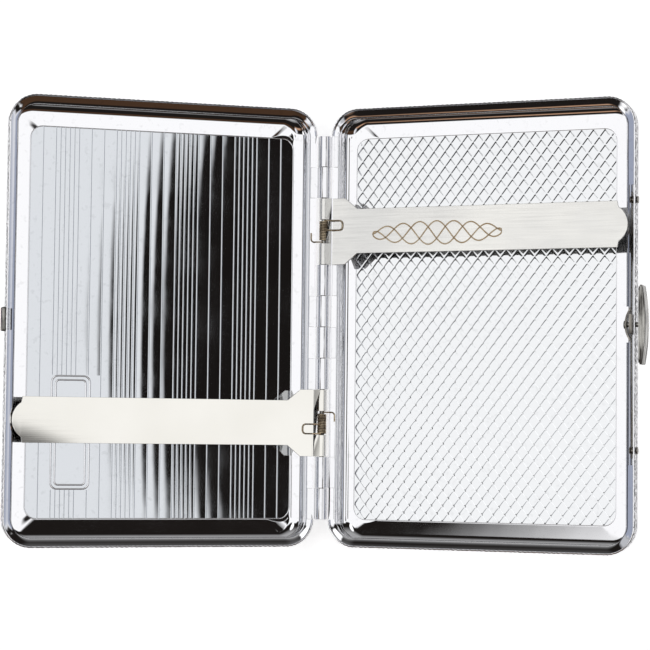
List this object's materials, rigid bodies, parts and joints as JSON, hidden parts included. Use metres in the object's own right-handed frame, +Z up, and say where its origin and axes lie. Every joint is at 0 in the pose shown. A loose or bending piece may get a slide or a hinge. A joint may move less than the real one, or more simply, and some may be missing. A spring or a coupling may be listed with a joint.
{
  "type": "pocket card case",
  "caption": "Hinged metal pocket case for business cards: two shallow drawn halves on a pin hinge, a sprung retaining arm in each, and a push-button spring latch.",
  "frame": {"origin": "under the middle of the open case's bounding box, on the surface that it stands on", "axes": "+X across both halves, from the front half to the back half with the button; +Y along the hinge pin; +Z up, out of the trays"},
  "size_m": [0.156, 0.11, 0.0334],
  "materials": {
    "plated_case": "bright chromium plate on drawn sheet",
    "plated_hinge": "bright plate, a little worn",
    "plated_arm": "bright plate with a warm, ivory cast",
    "plated_button": "bright plate, soft edges",
    "latch_steel": "plain steel, smooth",
    "steel_pin": "drawn steel",
    "spring_wire": "drawn spring wire, browned",
    "spring_strip": "hard rolled spring strip"
  },
  "bodies": {
    "back": {"back_cover": "plated_case", "back_frame": "plated_case", "back_hinge_leaves": "plated_hinge", "hinge_pin": "steel_pin", "lower_spring_tail": "spring_wire", "latch_spring": "spring_strip", "latch_spring_stakes": "plated_case"},
    "front": {"front_cover": "plated_case", "front_frame": "plated_case", "front_hinge_leaves": "plated_hinge", "upper_spring_tail": "spring_wire", "catch_boss": "plated_case"},
    "upper_retainer": {"upper_arm": "plated_arm", "upper_arm_spring": "spring_wire"},
    "lower_retainer": {"lower_arm": "plated_arm", "lower_arm_spring": "spring_wire"},
    "latch": {"latch_bridge": "latch_steel", "latch_claw": "latch_steel", "latch_rivet": "latch_steel", "button_plate": "latch_steel", "thumb_button": "plated_button"}
  },
  "joints": [
    {"name": "lid_hinge", "type": "hinge", "parent": "back", "child": "front", "pos_m": [-0.00109, 0, 0.00629], "axis": [0, 1, 0], "range_deg": [0, 142]},
    {"name": "upper_arm_hinge", "type": "hinge", "parent": "back", "child": "upper_retainer", "pos_m": [-0.00109, 0.0241, 0.00629], "axis": [0, 1, 0], "range_deg": [-100, 0], "stiffness_Nm_per_rad": 0.006, "springref_deg": 28.65},
    {"name": "lower_arm_hinge", "type": "hinge", "parent": "front", "child": "lower_retainer", "pos_m": [-0.00109, -0.0241, 0.00629], "axis": [0, -1, 0], "range_deg": [-100, 0], "stiffness_Nm_per_rad": 0.006, "springref_deg": 28.65},
    {"name": "latch_slide", "type": "slide", "parent": "back", "child": "latch", "axis": [-0.9455, 0, -0.3256], "range_m": [0, 0.0004], "stiffness_N_per_m": 1500, "springref_m": -0.0004, "deforming": ["latch_spring"]}
  ]
}
